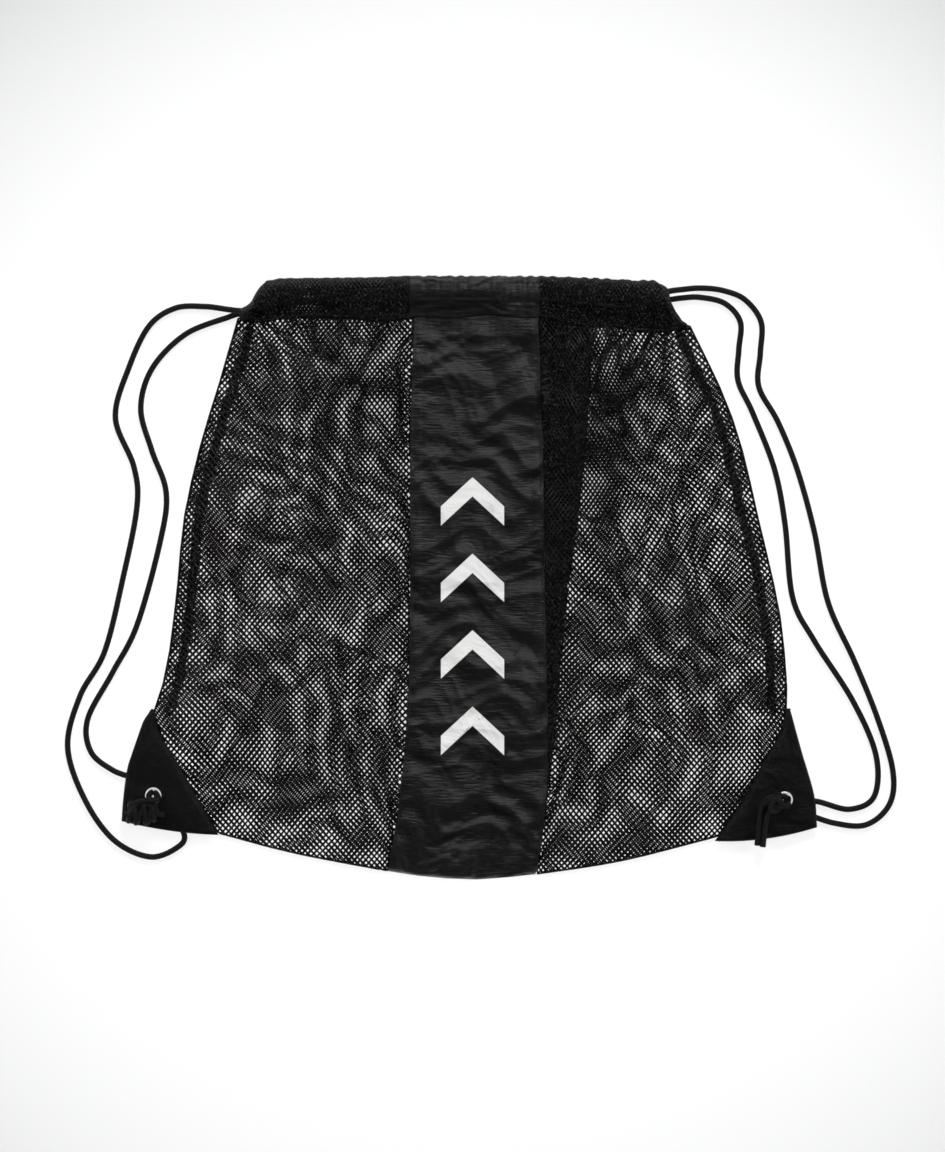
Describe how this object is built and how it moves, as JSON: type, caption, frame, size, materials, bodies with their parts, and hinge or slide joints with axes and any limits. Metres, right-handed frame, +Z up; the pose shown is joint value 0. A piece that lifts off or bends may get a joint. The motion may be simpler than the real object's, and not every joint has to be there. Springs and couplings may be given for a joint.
{
  "type": "drawstring backpack",
  "caption": "Flat drawstring backpack of black netting with a woven centre strip, a gathered cord casing at the mouth, corner patches with eyelets, and cord shoulder straps.",
  "frame": {"origin": "centre of the bag's outline, on the surface that it lies on", "axes": "+Z up through the front face, +Y towards the mouth, +X to the right as seen from the front"},
  "size_m": [0.5404, 0.392, 0.0184],
  "materials": {
    "netting": "black knitted polyester net with diamond holes, satin strands",
    "woven_nylon": "black plain-weave nylon, crinkled, with a soft sheen",
    "braided_cord": "black round braided polyester cord, matte",
    "nickel": "bright nickel-plated brass eyelet",
    "white_print": "white screen print on the woven strip"
  },
  "bodies": {
    "bag": {"front_mesh_left": "netting", "front_strip": "woven_nylon", "front_mesh_right": "netting", "back_mesh_left": "netting", "back_strip": "woven_nylon", "back_mesh_right": "netting", "front_casing_left": "netting", "front_casing_middle": "woven_nylon", "front_casing_right": "netting", "back_casing_left": "netting", "back_casing_middle": "woven_nylon", "back_casing_right": "netting", "side_seam_left": "netting", "side_seam_right": "netting", "corner_patch_left": "woven_nylon", "corner_patch_right": "woven_nylon", "eyelet_left": "nickel", "eyelet_right": "nickel", "eyelet_washer_left": "nickel", "eyelet_washer_right": "nickel", "left_knot": "braided_cord", "right_knot": "braided_cord"},
    "left_drawcord": {"left_outer_strand": "braided_cord", "left_casing_loop": "braided_cord", "left_inner_strand": "braided_cord"},
    "right_drawcord": {"right_outer_strand": "braided_cord", "right_casing_loop": "braided_cord", "right_inner_strand": "braided_cord"}
  },
  "joints": [
    {"name": "left_drawcord_pull", "type": "slide", "parent": "bag", "child": "left_drawcord", "axis": [-1, 0, 0], "range_m": [-0.03, 0.04], "deforming": ["left_outer_strand", "left_casing_loop", "left_inner_strand"]},
    {"name": "right_drawcord_pull", "type": "slide", "parent": "bag", "child": "right_drawcord", "axis": [1, 0, 0], "range_m": [-0.03, 0.04], "deforming": ["right_outer_strand", "right_casing_loop", "right_inner_strand"]}
  ]
}
